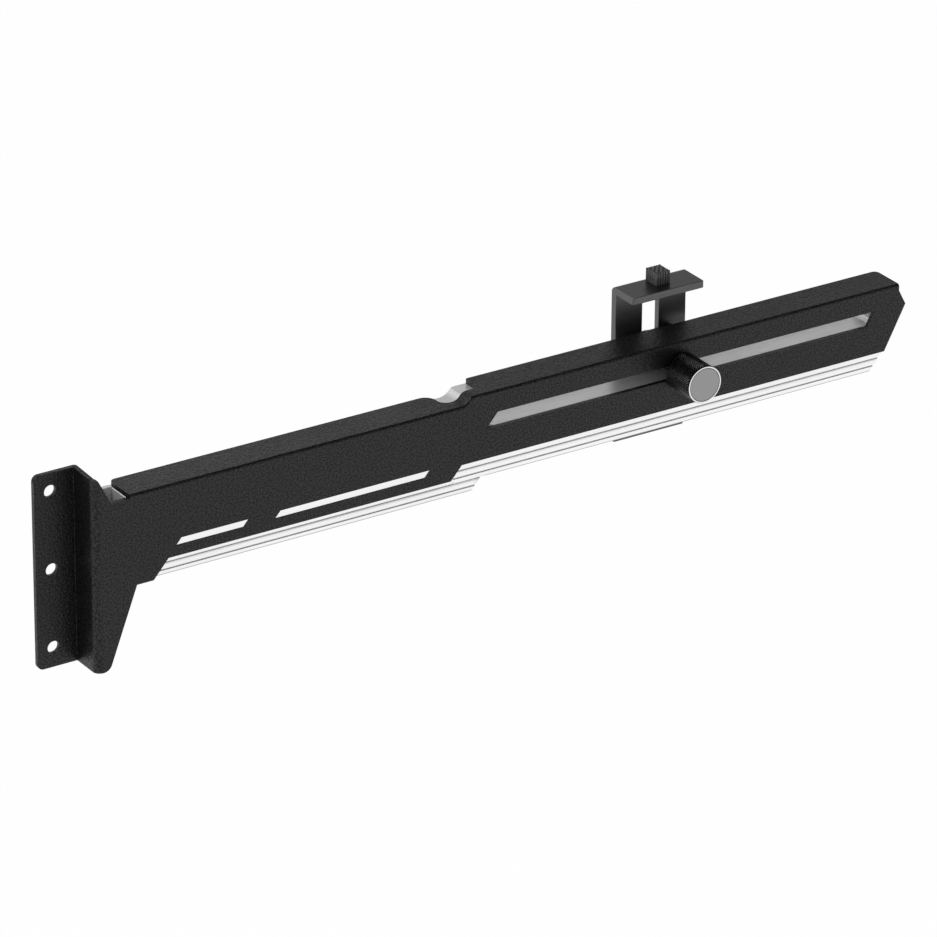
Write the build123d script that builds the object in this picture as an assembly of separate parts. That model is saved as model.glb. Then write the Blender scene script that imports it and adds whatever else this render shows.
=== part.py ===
from build123d import *
import os
from math import radians, sqrt, tan

# Graphics card support bracket: a folded black sheet with a bar that reaches along the
# card, a silver rail behind it, and a small arm that a knurled knob clamps in a long slot.
# Millimetres. X runs along the bar, Y from front to back, Z up. The origin is the middle
# screw hole of the case flange, on the face that lies against the computer case.

# Case flange
slot_pitch = 20.32        # pitch of a computer's expansion slots
flange_holes = 3
hole_dia = 3.2
hole_edge = 4.35          # hole centre to the flange's free edge
flange_height = 50.45
flange_drop = 0.22        # the flange's middle lies this far under the middle hole
flange_corner = 1.6

# Folded sheet
sheet = 1.2               # thickness, with its powder coat
web_x = 6.3               # left face of the web, from the hole centres
bar_offset = 9.2          # case face to the bar's back face
flange_fold_inner = 0.1   # radii of the tight fold beside the flange
flange_fold_outer = 0.8
bar_fold_inner = 0.7      # inner radius of the fold beside the bar
top_fold_outer = 0.7      # outer radius of the fold along the bar's top
rear_setback = 0.5        # the bar's rear stays this far in front of the case face
web_taper = 0.4           # the web's top edge falls this much towards the bar

# Bar outline, seen from the front
low_top = 18.92           # top of the left part
top_rise = 2.03           # the right part stands this much higher
step_x = 109.9            # middle of the step in the top
step_run = 4.2            # length of the step in the top
low_edge = 0.0            # lower edge of the left part
low_rise = 3.55           # the lower edge rises this much
ramp_x = 105.1            # foot of the ramp in the lower edge
top_end_x = 237.8
shoulder_z = 19.2         # the right end is upright above this
tip_reach = 2.1           # the tip stands out this far beyond the top fold
tip_z = 15.2
nose_setback = 4.0        # foot of the slanted right end, back from the top's end
ramp_angle = 49.0         # slant of the ramp and of the slots' left ends
nose_angle = 62.0         # slant of the right end

# Leg and tab beside the flange
leg_toe_x = 9.9
leg_top_x = 17.65
leg_top_z = -4.75
leg_shelf_x = 22.15
leg_toe_radius = 2.4
bar_left_x = 16.1         # left end of the top fold
notch_z = 18.0            # floor of the notch between tab and top fold
tab_foot_x = 11.1
tab_angle = 62.5

# Relief cut in the top fold, where it steps up
relief_x = 105.1
relief_width = 10.3
relief_rim = 4.0          # depth of the rim left in front of it
relief_radius = 2.4       # inner corners
relief_lead_radius = 3.0  # outer corner on the left
relief_heel_radius = 0.4  # outer corner on the right
flange_tip_radius = 1.5

# Slots in the bar's front
window_z = 2.8
window_height = 1.7
windows = ((28.4, 18.5), (55.6, 42.1))    # lower left corner and length of each
track_z = 13.3            # middle of the long slot
track_height = 3.9
track_left = 116.75       # left end of the long slot on its middle line
track_inset = 8.3         # right end of the long slot, back from the top's end

# Rail behind the bar
rail_gap = 0.05           # between the rail and the top fold
rail_low = -4.52          # bottom of the left part
rail_high = -1.52         # bottom of the right part
rail_step_x = 111.8
rail_foot_x = 232.9       # a point on the slanted right end of the rail's foot
rail_foot_z = 1.63
rail_foot_angle = 51.0
rail_end_inset = 0.4
rail_end_chamfer = 0.3    # on the top edge of the rail's left end
rail_track_margin = 1.7   # the rail's slot runs past the right end of the sheet's slot
rail_track_left = 116.3
land_gap = 0.05           # round the lands that fill the two windows
land_sink = 0.15          # the lands stay this far under the sheet's front
skin_depth = 1.2          # thin tail that runs on to the web
skin_gap = 0.3
reed_groove = 0.25        # depth of the grooves between the reeds
reed_groove_half = 0.17   # half width of the grooves
reed_swell = 0.12         # the reeds bulge this much
left_reeds = (1.13, -1.61, -3.37)      # grooves of the left part, from the top down
right_reeds = (4.13, 1.53, -0.27)      # grooves of the right part
right_reeds_x = 106.4

# Fixing of the rail: studs welded to the bar's back, with nuts sunk in the rail
stud_dia = 3.0
left_studs = ((33.7, 9.75), (91.7, 9.75), (123.7, 6.35), (175.7, 6.35))
end_stud_inset = 12.1     # the last stud, back from the top's end
stud_hole_gap = 0.2
stud_short = 0.3          # the stud ends this far inside the rail's rear
nut_across_flats = 5.5
nut_height = 2.4
nut_pocket_depth = 3.0
nut_pocket_gap = 0.15     # round the nut's corners

# Slide block, screw and knob
arm_x = 172.0             # middle of the arm as shown
face_gap = 0.05           # running gap between faces that slide
key_gap = 0.05            # on each side of a sliding key
block_length = 14.0
block_height = 11.6
block_depth = 3.6
block_corner = 1.0
block_key_length = 8.0
block_key_depth = 3.0
block_boss_height = 8.0
block_boss_depth = 1.5
screw_dia = 3.5
screw_fit = 0.05          # radial clearance round the clamp screw
screw_head_dia = 7.0
screw_head_height = 2.2
socket_across_flats = 2.5
socket_depth = 1.3
washer_dia = 9.0
washer_thickness = 0.8
knob_dia = 9.8
knob_length = 10.2
knob_face_dia = 9.5       # the knob narrows to its bright front ring
knob_band = 0.7           # plain band at the knob's front
knob_rear_band = 0.5
knob_rear_chamfer = 0.3
knurl_teeth = 48
knurl_depth = 0.2
thread_engaged = 7.0
thread_spare = 1.0        # blind hole beyond the screw's end

# Support arm
arm_width = 20.9
arm_sheet = 1.9
arm_top = 32.6
arm_bottom = -9.05
arm_depth = 9.5
arm_fold_outer = 1.6
arm_fold_inner = 0.3
arm_corner = 0.4
arm_slot_width = 4.9
arm_slot_top = 29.65
arm_slot_bottom = -3.75

# Rubber pad on the arm
pad_length = 4.4
pad_depth = 4.8
pad_height = 3.35
pad_offset = 0.5          # to the right of the arm's middle
pad_setback = 1.6         # pad's rear to the arm's rear
pad_ribs = 4
pad_groove = 0.25         # radius of the grooves between the ribs

# Places worked out from the sizes above
front_y = -(bar_offset + sheet)
back_y = -bar_offset
rear_y = -rear_setback
high_top = low_top + top_rise
high_edge = low_edge + low_rise
tip_x = top_end_x + tip_reach
nose_x = top_end_x - nose_setback
track_right = top_end_x - track_inset
rail_track_right = track_right + rail_track_margin
flange_top = flange_height / 2 - flange_drop
flange_foot = flange_top - flange_height
tab_top = flange_top - web_taper
stud_places = (*left_studs, (top_end_x - end_stud_inset, left_studs[-1][1]))
block_y = rear_y + face_gap
arm_front_y = block_y + block_depth + face_gap
arm_rear_y = arm_front_y + arm_sheet
knob_y = front_y - face_gap
nut_corner = nut_across_flats / sqrt(3)


def run(height, angle):
    """Sideways run of an edge at this angle over this height."""
    return height / tan(radians(angle))


def face_of(*lines):
    """The flat face inside these joined lines."""
    return make_face([edge for line in lines for edge in line.edges()])


def from_front(face, y_from, y_to):
    """A front view, drawn in X and Z, given depth from y_from to y_to."""
    return extrude(Plane.XZ.offset(-y_from) * face, amount=y_to - y_from, dir=(0, 1, 0))


def from_above(face, z_from, z_to):
    """A plan view given height from z_from to z_to."""
    return extrude(Pos(0, 0, z_from) * face, amount=z_to - z_from, dir=(0, 0, 1))


def rod(x, z, radius, y_from, y_to):
    """A round bar along Y."""
    return from_front(Pos(x, z) * Circle(radius), y_from, y_to)


def top_line(depth):
    """The bar's stepped top line, at this depth under the top face."""
    radius = (step_run**2 + top_rise**2) / (4 * top_rise)
    x0 = step_x - step_run / 2
    x1 = step_x + step_run / 2
    z0 = low_top - depth
    z1 = high_top - depth
    across = step_run / (2 * radius)
    down = (top_rise - 2 * radius) / (2 * radius)
    middle = (x0 + across * (radius + depth), low_top + radius + down * (radius + depth))
    start = Line((bar_left_x, z0), (x0, z0))
    lower_bend = TangentArc((x0, z0), middle, tangent=(1, 0))
    upper_bend = TangentArc(middle, (x1, z1), tangent=lower_bend % 1)
    end = Line((x1, z1), (top_end_x, z1))
    return [start, lower_bend, upper_bend, end]


def bar_face():
    """Front view of the bar with its leg and tab; its left side lies beyond the web."""
    left = web_x - 1
    tab_run = run(tab_top - notch_z, tab_angle)
    ramp_run = run(low_rise, ramp_angle)
    shelf_run = run(low_edge - leg_top_z, ramp_angle)
    rest = Polyline(
        (top_end_x, high_top),
        (top_end_x, shoulder_z),
        (tip_x, tip_z),
        (nose_x, high_edge),
        (ramp_x + ramp_run, high_edge),
        (ramp_x, low_edge),
        (leg_shelf_x + shelf_run, low_edge),
        (leg_shelf_x, leg_top_z),
        (leg_top_x, leg_top_z),
        (leg_toe_x, flange_foot),
        (left, flange_foot),
        (left, tab_top),
        (tab_foot_x - tab_run, tab_top),
        (tab_foot_x, notch_z),
        (bar_left_x, notch_z),
        (bar_left_x, low_top),
    )
    face = face_of(*top_line(0), rest)
    toe = face.vertices().sort_by_distance((leg_toe_x, flange_foot, 0))[0]
    return fillet(toe, leg_toe_radius)


def folded_strip():
    """Flange, web and front as one Z-folded strip of full height, untrimmed."""
    outline = Polyline(
        (-hole_edge, 0),
        (web_x + sheet, 0),
        (web_x + sheet, back_y),
        (tip_x + 1, back_y),
        (tip_x + 1, front_y),
        (web_x, front_y),
        (web_x, -sheet),
        (-hole_edge, -sheet),
        close=True,
    )
    plan = face_of(outline)
    folds = (
        ((web_x, -sheet), flange_fold_inner),
        ((web_x + sheet, 0), flange_fold_outer),
        ((web_x + sheet, back_y), bar_fold_inner),
        ((web_x, front_y), bar_fold_inner + sheet),
    )
    for place, radius in folds:
        corner = plan.vertices().sort_by_distance((*place, 0))[0]
        plan = fillet(corner, radius)
    strip = from_above(plan, flange_foot, flange_top)
    free_edges = strip.edges().filter_by(Axis.Y).group_by(Axis.X)[0]
    strip = fillet(free_edges, flange_corner)
    fall = Polyline(
        (-sheet, flange_top),
        (back_y, tab_top),
        (front_y - 1, tab_top),
        (front_y - 1, flange_top + 1),
        (-sheet, flange_top + 1),
        close=True,
    )
    above = extrude(Plane.YZ * face_of(fall), amount=tip_x + 2, dir=(1, 0, 0))
    return strip - above


def top_fold():
    """The flange folded back along the bar's top, with the relief cut at its step."""
    ends = Line((top_end_x, high_top), (top_end_x, high_top - sheet))
    start = Line((bar_left_x, low_top - sheet), (bar_left_x, low_top))
    fold = from_front(face_of(*top_line(0), ends, *top_line(sheet), start), front_y, rear_y)
    reach = rear_y - front_y - relief_rim
    centre = Pos(relief_x + relief_width / 2, rear_y)
    cut = centre * RectangleRounded(relief_width, 2 * reach, relief_radius)
    fold -= from_above(cut, low_top - 2 * sheet, high_top + sheet)
    corners = (
        (bar_left_x, flange_tip_radius),
        (relief_x, relief_lead_radius),
        (relief_x + relief_width, relief_heel_radius),
        (top_end_x, flange_tip_radius),
    )
    for x, radius in corners:
        rear_edges = fold.edges().filter_by(Axis.Z).group_by(Axis.Y)[-1]
        fold = fillet(rear_edges.sort_by_distance((x, rear_y, high_top))[0], radius)
    return fold


def slanted_slot(left, right, low, height, right_angle):
    """Front view of a slot whose ends lean right; left and right lie on its lower edge."""
    high_left = left + run(height, ramp_angle)
    high_right = right + run(height, right_angle)
    corners = ((left, low), (right, low), (high_right, low + height), (high_left, low + height))
    return face_of(Polyline(*corners, close=True))


def window_faces():
    """Front views of the two windows under the middle of the bar."""
    places = [(left, left + length) for left, length in windows]
    return [slanted_slot(*place, window_z, window_height, ramp_angle) for place in places]


def make_folded_bracket():
    """The folded sheet, from the case flange to the tip."""
    surround = Pos(tip_x / 2 + web_x, 0) * Rectangle(tip_x + 2, 2 * flange_height)
    cut_y = back_y + bar_fold_inner + 0.1
    body = folded_strip() - from_front(surround - bar_face(), front_y - 1, cut_y)
    body += top_fold()

    def along_top_fold(edge):
        place = edge.center()
        on_front = abs(place.Y - front_y) < 0.01
        return on_front and place.Z > low_top - 0.01 and bar_left_x < place.X < top_end_x - 0.01
    body = fillet(body.edges().filter_by(along_top_fold), top_fold_outer)

    half = track_height / 2
    left = track_left - run(half, ramp_angle)
    right = track_right - run(half, nose_angle)
    track = slanted_slot(left, right, track_z - half, track_height, nose_angle)
    for opening in (*window_faces(), track):
        body -= from_front(opening, front_y - 1, back_y + 1)
    for n in range(flange_holes):
        z = (n - (flange_holes - 1) / 2) * slot_pitch
        body -= rod(0, z, hole_dia / 2, -sheet - 1, 1)
    return body


def rail_face():
    """Front view of the rail: it fills the top fold and shows below the bar's lower edge."""
    depth = sheet + rail_gap
    right_x = top_end_x - rail_end_inset
    foot_top_x = rail_foot_x + run(high_edge - rail_foot_z, rail_foot_angle)
    foot_low_x = rail_foot_x + run(rail_high - rail_foot_z, rail_foot_angle)
    rest = Polyline(
        (top_end_x, high_top - depth),
        (right_x, tip_z),
        (nose_x - rail_end_inset, high_edge + 1),
        (foot_top_x, high_edge),
        (foot_low_x, rail_high),
        (rail_step_x + run(rail_high - rail_low, ramp_angle), rail_high),
        (rail_step_x, rail_low),
        (bar_left_x, rail_low),
        (bar_left_x, low_top - depth),
    )
    return face_of(*top_line(depth), rest)


def reeds(grooves, x_from, x_to):
    """What is cut from the rail's front to leave rounded reeds between fine grooves."""
    lines = []
    for upper, lower in zip(grooves, grooves[1:]):
        top = (back_y, upper - reed_groove_half)
        crest = (back_y, (upper + lower) / 2)
        foot = (back_y, lower + reed_groove_half)
        inset = back_y + reed_swell
        lines.append(Line((back_y + reed_groove, upper), (inset, top[1])))
        lines.append(ThreePointArc((inset, top[1]), crest, (inset, foot[1])))
        lines.append(Line((inset, foot[1]), (back_y + reed_groove, lower)))
    outside = back_y - 1
    low = grooves[-1] - reed_groove_half
    high = grooves[0] + reed_groove_half
    close = Polyline(
        (back_y + reed_groove, grooves[-1]),
        (back_y, low),
        (outside, low),
        (outside, high),
        (back_y, high),
        (back_y + reed_groove, grooves[0]),
    )
    profile = Plane.YZ.offset(x_from) * face_of(*lines, close)
    return extrude(profile, amount=x_to - x_from, dir=(1, 0, 0))


def make_backing_rail():
    """The rail, one profile that fills the fold, with reeds along its visible foot."""
    rail = from_front(rail_face(), back_y, rear_y)
    end_top = (bar_left_x, (back_y + rear_y) / 2, low_top - sheet - rail_gap)
    end_edge = rail.edges().filter_by(Axis.Y).sort_by_distance(end_top)[0]
    rail = chamfer(end_edge, rail_end_chamfer)
    tail_left = web_x + sheet + skin_gap
    tail_height = low_top - sheet - rail_gap - rail_low
    tail_place = Pos((tail_left + bar_left_x) / 2, rail_low + tail_height / 2)
    tail = tail_place * Rectangle(bar_left_x - tail_left, tail_height)
    rail += from_front(tail, rear_y - skin_depth, rear_y)
    left_end = rail_step_x + run(rail_high - rail_low, ramp_angle) + 1
    rail -= reeds(left_reeds, bar_left_x - 1, right_reeds_x)
    rail -= reeds(left_reeds[1:], right_reeds_x, left_end)
    rail -= reeds(right_reeds, right_reeds_x, top_end_x + 1)

    length = rail_track_right - rail_track_left
    centre = (rail_track_left + rail_track_right) / 2
    track = Pos(centre, track_z) * SlotOverall(length, track_height)
    rail -= from_front(track, back_y - 1, rear_y + 1)
    for window in window_faces():
        land = offset(window, -land_gap, kind=Kind.INTERSECTION)
        rail += from_front(land, front_y + land_sink, back_y)
    for x, z in stud_places:
        rail -= rod(x, z, stud_dia / 2 + stud_hole_gap, back_y - 1, rear_y + 1)
        rail -= rod(x, z, nut_corner + nut_pocket_gap, rear_y - nut_pocket_depth, rear_y + 1)
    return rail


def make_weld_stud(x, z):
    """A stud on the bar's back, through the rail."""
    stud = rod(x, z, stud_dia / 2, back_y, rear_y - stud_short)
    return chamfer(stud.edges().group_by(Axis.Y)[-1], 0.3)


def make_rail_nut(x, z):
    """A hexagon nut at the bottom of its pocket."""
    y = rear_y - nut_pocket_depth
    hexagon = Pos(x, z) * RegularPolygon(nut_corner, 6)
    return from_front(hexagon, y, y + nut_height) - rod(x, z, stud_dia / 2, y - 1, rear_y)


def make_slide_block():
    """Spacer behind the rail: a key in the rail's slot and a boss in the arm's slot."""
    place = Pos(arm_x, track_z)
    plate = place * RectangleRounded(block_length, block_height, block_corner)
    body = from_front(plate, block_y, block_y + block_depth)
    key = SlotOverall(block_key_length, track_height - 2 * key_gap)
    body += from_front(place * key, rear_y - block_key_depth, block_y)
    boss = SlotOverall(block_boss_height, arm_slot_width - 2 * key_gap, 90)
    body += from_front(place * boss, block_y + block_depth, arm_front_y + block_boss_depth)
    return body - rod(arm_x, track_z, screw_dia / 2 + screw_fit, front_y, arm_rear_y)


def make_support_arm():
    """An L of sheet: the shelf holds the card, the slotted upright slides on the block."""
    side = Polyline(
        (arm_rear_y, arm_bottom),
        (arm_rear_y, arm_top),
        (arm_rear_y - arm_depth, arm_top),
        (arm_rear_y - arm_depth, arm_top - arm_sheet),
        (arm_front_y, arm_top - arm_sheet),
        (arm_front_y, arm_bottom),
        close=True,
    )
    profile = face_of(side)
    outer = profile.vertices().sort_by_distance((arm_rear_y, arm_top, 0))[0]
    profile = fillet(outer, arm_fold_outer)
    inner = profile.vertices().sort_by_distance((arm_front_y, arm_top - arm_sheet, 0))[0]
    profile = fillet(inner, arm_fold_inner)
    left = arm_x - arm_width / 2
    arm = extrude(Plane.YZ.offset(left) * profile, amount=arm_width, dir=(1, 0, 0))
    front_corners = arm.edges().filter_by(Axis.Z).group_by(Axis.Y)[0]
    arm = fillet(front_corners, arm_corner)
    low_corners = arm.edges().filter_by(Axis.Y).group_by(Axis.Z)[0]
    arm = fillet(low_corners, arm_corner)
    length = arm_slot_top - arm_slot_bottom
    slot = Pos(arm_x, (arm_slot_top + arm_slot_bottom) / 2) * SlotOverall(length, arm_slot_width, 90)
    return arm - from_front(slot, arm_front_y - 1, arm_rear_y + 1)


def make_arm_pad():
    """The ribbed rubber block on the shelf."""
    place = Pos(arm_x + pad_offset, arm_rear_y - pad_setback - pad_depth / 2)
    plan = RectangleRounded(pad_length, pad_depth, 0.4)
    for n in range(pad_ribs):
        across = (n - (pad_ribs - 1) / 2) * pad_length / (pad_ribs + 1)
        along = (n - (pad_ribs - 1) / 2) * pad_depth / (pad_ribs + 1)
        for side in (-1, 1):
            plan -= Pos(across, side * pad_depth / 2) * Circle(pad_groove)
            plan -= Pos(side * pad_length / 2, along) * Circle(pad_groove)
    return from_above(place * plan, arm_top, arm_top + pad_height)


def make_clamp_screw():
    """Button-headed screw from behind the arm into the knob."""
    head_y = arm_rear_y + face_gap + washer_thickness
    head = rod(arm_x, track_z, screw_head_dia / 2, head_y, head_y + screw_head_height)
    head = fillet(head.edges().group_by(Axis.Y)[-1], 0.7 * screw_head_height)
    shank = rod(arm_x, track_z, screw_dia / 2, knob_y - thread_engaged, head_y)
    shank = chamfer(shank.edges().group_by(Axis.Y)[0], 0.4)
    socket = Pos(arm_x, track_z) * RegularPolygon(socket_across_flats / sqrt(3), 6)
    top_y = head_y + screw_head_height
    return head + shank - from_front(socket, top_y - socket_depth, top_y + 1)


def make_screw_washer():
    """The plain washer under the screw's head."""
    y_from = arm_rear_y + face_gap
    y_to = y_from + washer_thickness
    ring = rod(arm_x, track_z, washer_dia / 2, y_from, y_to)
    return ring - rod(arm_x, track_z, screw_dia / 2 + screw_fit, y_from - 1, y_to + 1)


def knurl_face():
    """A toothed ring, seen from the front."""
    points = []
    for n in range(2 * knurl_teeth):
        radius = knob_dia / 2 - knurl_depth * (n % 2)
        points.append(Vector(radius, 0).rotate(Axis.Z, n * 180 / knurl_teeth))
    return Pos(arm_x, track_z) * face_of(Polyline(*points, close=True))


def make_knob():
    """The knurled knob, with plain chamfered bands at both ends and a blind thread hole."""
    front = knob_y - knob_length
    radius = knob_dia / 2
    band = rod(arm_x, track_z, radius, front, front + knob_band)
    band = chamfer(band.edges().group_by(Axis.Y)[0], (knob_dia - knob_face_dia) / 2)
    rear_band = rod(arm_x, track_z, radius - knurl_depth, knob_y - knob_rear_band, knob_y)
    rear_band = chamfer(rear_band.edges().group_by(Axis.Y)[-1], knob_rear_chamfer)
    knob = band + from_front(knurl_face(), front + knob_band, knob_y - knob_rear_band) + rear_band
    hole_end = knob_y - thread_engaged - thread_spare
    return knob - rod(arm_x, track_z, screw_dia / 2 + screw_fit, hole_end, knob_y + 1)


parts = {
    "folded_bracket": make_folded_bracket(),
    "backing_rail": make_backing_rail(),
    "slide_block": make_slide_block(),
    "support_arm": make_support_arm(),
    "arm_pad": make_arm_pad(),
    "clamp_screw": make_clamp_screw(),
    "screw_washer": make_screw_washer(),
    "knob": make_knob(),
}
for n, (x, z) in enumerate(stud_places, start=1):
    parts[f"weld_stud_{n}"] = make_weld_stud(x, z)
    parts[f"rail_nut_{n}"] = make_rail_nut(x, z)

os.makedirs("parts", exist_ok=True)
for name, part in parts.items():
    solids = part.solids()
    export_step(solids[0] if len(solids) == 1 else part, f"parts/{name}.step")
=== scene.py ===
import math

import bmesh
import bpy
from bpy.props import FloatProperty, FloatVectorProperty, IntProperty, PointerProperty
from mathutils import Euler, Matrix, Vector


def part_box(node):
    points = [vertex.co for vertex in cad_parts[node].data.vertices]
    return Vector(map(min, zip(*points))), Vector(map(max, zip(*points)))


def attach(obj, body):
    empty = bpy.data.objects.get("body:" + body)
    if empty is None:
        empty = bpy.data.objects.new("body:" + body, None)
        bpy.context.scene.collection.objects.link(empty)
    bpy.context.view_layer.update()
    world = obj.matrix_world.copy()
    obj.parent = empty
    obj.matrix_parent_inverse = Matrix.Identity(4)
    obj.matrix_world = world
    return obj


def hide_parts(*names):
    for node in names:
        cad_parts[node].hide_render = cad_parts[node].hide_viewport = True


bl_info = {
    "name": "Card support bracket",
    "version": (1, 0, 0),
    "blender": (4, 5, 0),
    "location": "3D View > Sidebar > Bracket",
    "description": "Dresses a graphics card support bracket: sheet, rail, arm, knob, pad and fasteners",
    "category": "Object",
}

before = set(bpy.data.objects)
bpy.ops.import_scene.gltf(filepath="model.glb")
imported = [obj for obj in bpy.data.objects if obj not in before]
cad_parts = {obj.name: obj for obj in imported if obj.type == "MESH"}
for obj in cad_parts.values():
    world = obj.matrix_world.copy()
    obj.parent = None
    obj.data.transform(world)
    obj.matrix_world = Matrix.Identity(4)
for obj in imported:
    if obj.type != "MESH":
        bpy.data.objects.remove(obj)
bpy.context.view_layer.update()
rail_low, rail_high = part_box("backing_rail")
knob_low, knob_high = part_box("knob")
knob_centre = (knob_low + knob_high) / 2

# Places closer than this are one place
SAME_PLACE = 1e-6


# Node trees

def wire(tree, source, target):
    """Joins an output socket to an input socket."""
    tree.links.new(source, target)


def object_place(tree, stretch=(1, 1, 1)):
    """The piece's own coordinates in metres, stretched along each axis."""
    place = tree.nodes.new("ShaderNodeTexCoord")
    mapping = tree.nodes.new("ShaderNodeMapping")
    mapping.inputs["Scale"].default_value = stretch
    wire(tree, place.outputs["Object"], mapping.inputs["Vector"])
    return mapping.outputs["Vector"]


def noise(tree, place, scale, detail=3.0, rough=0.55):
    """A noise pattern's value over the surface."""
    node = tree.nodes.new("ShaderNodeTexNoise")
    node.inputs["Scale"].default_value = scale
    node.inputs["Detail"].default_value = detail
    node.inputs["Roughness"].default_value = rough
    wire(tree, place, node.inputs["Vector"])
    return node.outputs["Fac"]


def spread(tree, value, low, high, from_low=0.3, from_high=0.7):
    """A value mapped to the range from low to high."""
    node = tree.nodes.new("ShaderNodeMapRange")
    node.inputs["From Min"].default_value = from_low
    node.inputs["From Max"].default_value = from_high
    node.inputs["To Min"].default_value = low
    node.inputs["To Max"].default_value = high
    wire(tree, value, node.inputs["Value"])
    return node.outputs["Result"]


def blend(tree, mask, off, on):
    """A value that goes from off to on as the mask goes from nought to one."""
    return spread(tree, mask, off, on, from_low=0.0, from_high=1.0)


def bump(tree, height, depth, strength=1.0, under=None):
    """Relief of this depth in metres from a height value, over other relief if given."""
    node = tree.nodes.new("ShaderNodeBump")
    node.inputs["Strength"].default_value = strength
    node.inputs["Distance"].default_value = depth
    wire(tree, height, node.inputs["Height"])
    if under is not None:
        wire(tree, under, node.inputs["Normal"])
    return node.outputs["Normal"]


def tint(tree, value, dark, light):
    """A colour between two, by a value from 0 to 1."""
    node = tree.nodes.new("ShaderNodeValToRGB")
    node.color_ramp.elements[0].color = (*dark, 1)
    node.color_ramp.elements[1].color = (*light, 1)
    node.color_ramp.elements[0].position = 0.3
    node.color_ramp.elements[1].position = 0.7
    wire(tree, value, node.inputs["Fac"])
    return node.outputs["Color"]


def stored(tree, name, start, end):
    """A value stored at the mesh's corners, nought at start and one at end."""
    node = tree.nodes.new("ShaderNodeAttribute")
    node.attribute_name = name
    return spread(tree, node.outputs["Fac"], 0.0, 1.0, from_low=start, from_high=end)


def stripes(tree, place, scale, turn, wobble):
    """Bands across the surface, turned by an angle round Z and a little wavy."""
    mapping = tree.nodes.new("ShaderNodeMapping")
    mapping.inputs["Rotation"].default_value = (0, 0, turn)
    wire(tree, place, mapping.inputs["Vector"])
    wave = tree.nodes.new("ShaderNodeTexWave")
    wave.inputs["Scale"].default_value = scale
    wave.inputs["Distortion"].default_value = wobble
    wire(tree, mapping.outputs["Vector"], wave.inputs["Vector"])
    return wave.outputs["Fac"]


def reckon(tree, operation, first, second=None):
    """The outcome of a sum on one or two values."""
    node = tree.nodes.new("ShaderNodeMath")
    node.operation = operation
    wire(tree, first, node.inputs[0])
    if second is not None:
        wire(tree, second, node.inputs[1])
    return node.outputs["Value"]


def added(tree, first, second):
    """The sum of two values."""
    return reckon(tree, "ADD", first, second)


def product(tree, first, second):
    """Two values multiplied."""
    return reckon(tree, "MULTIPLY", first, second)


def largest(tree, first, second):
    """The larger of two values."""
    return reckon(tree, "MAXIMUM", first, second)


def absolute(tree, value):
    """A value without its sign."""
    return reckon(tree, "ABSOLUTE", value)


def axes(tree, vector):
    """The three parts of a vector."""
    split = tree.nodes.new("ShaderNodeSeparateXYZ")
    wire(tree, vector, split.inputs["Vector"])
    return split.outputs["X"], split.outputs["Y"], split.outputs["Z"]


def facing(tree):
    """The direction that the surface faces, in the piece's own axes."""
    return tree.nodes.new("ShaderNodeTexCoord").outputs["Normal"]


def past(tree, value, limit, side=1, softness=0.02):
    """One where a value is over the limit and nought under it; the other way round for side -1."""
    soft = softness * abs(limit) * side
    return spread(tree, value, 0.0, 1.0, from_low=limit - soft, from_high=limit + soft)


def mix_colour(tree, factor, first, second):
    """First colour to second colour by a factor."""
    node = tree.nodes.new("ShaderNodeMix")
    node.data_type = "RGBA"
    wire(tree, factor, node.inputs["Factor"])
    wire(tree, first, node.inputs["A"])
    node.inputs["B"].default_value = (*second, 1)
    return node.outputs["Result"]


def new_material(name):
    """A material, its node tree and its main shader."""
    material = bpy.data.materials.new(name)
    material.use_nodes = True
    return material, material.node_tree, material.node_tree.nodes["Principled BSDF"]


def dress_shader(tree, shader, colour, rough, relief, metallic=0.0):
    """Gives a shader its colour, roughness, relief and metal."""
    wire(tree, colour, shader.inputs["Base Color"])
    wire(tree, rough, shader.inputs["Roughness"])
    wire(tree, relief, shader.inputs["Normal"])
    shader.inputs["Metallic"].default_value = metallic


def shade(colour, factor):
    """A colour made lighter or darker."""
    return tuple(min(1.0, part * factor) for part in colour)


# Finishes

def powder_coat(look, name="textured_powder", lightness=1.0, gloss=1.0):
    """Fine-textured black powder coat: a pebbled skin, its sheen broken into fine specks."""
    material, tree, shader = new_material(name)
    place = object_place(tree)
    grain = noise(tree, place, scale=look.powder_grain, detail=2.0, rough=0.8)
    pebbles = noise(tree, place, scale=look.powder_grain * 0.6, detail=2.0, rough=0.6)
    cloud = noise(tree, place, scale=60.0, detail=3.0)
    speck = spread(tree, grain, 0.0, 1.0, from_low=0.36, from_high=0.64)
    coat = shade(look.powder_colour, lightness)
    colour = tint(tree, speck, shade(coat, 0.25), shade(coat, 1.9))
    sheen = look.powder_sheen * gloss
    wire(tree, blend(tree, speck, sheen * 0.35, sheen * 1.65), shader.inputs["Specular IOR Level"])
    relief = bump(tree, pebbles, depth=0.00017, strength=0.9)
    relief = bump(tree, grain, depth=0.00004, strength=0.8, under=relief)
    dress_shader(tree, shader, colour, spread(tree, cloud, 0.35, 0.41), relief)
    return material


def powder_edge(look):
    """The powder coat on the cut edges: a little glossier, and a little lighter as a painted highlight.
    """
    return powder_coat(look, "powder_edges_painted_highlight", lightness=1.4, gloss=1.15)


def rail_bottom_shade(tree, across, height):
    """One in a thin band along the bottom of the rail's low left part and of its higher right part:
    painted shade along the rail's bottom edge.
    """
    rim = 0.0002
    right_rise = 0.00298
    left_end = rail_low.x + 0.1052
    right_start = left_end + 0.0015
    left_band = past(tree, height, rail_low.z + rim, side=-1)
    left = product(tree, left_band, past(tree, across, left_end, side=-1))
    right_band = past(tree, height, rail_low.z + right_rise + rim, side=-1)
    right = product(tree, right_band, past(tree, across, right_start))
    return largest(tree, left, right)


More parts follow.
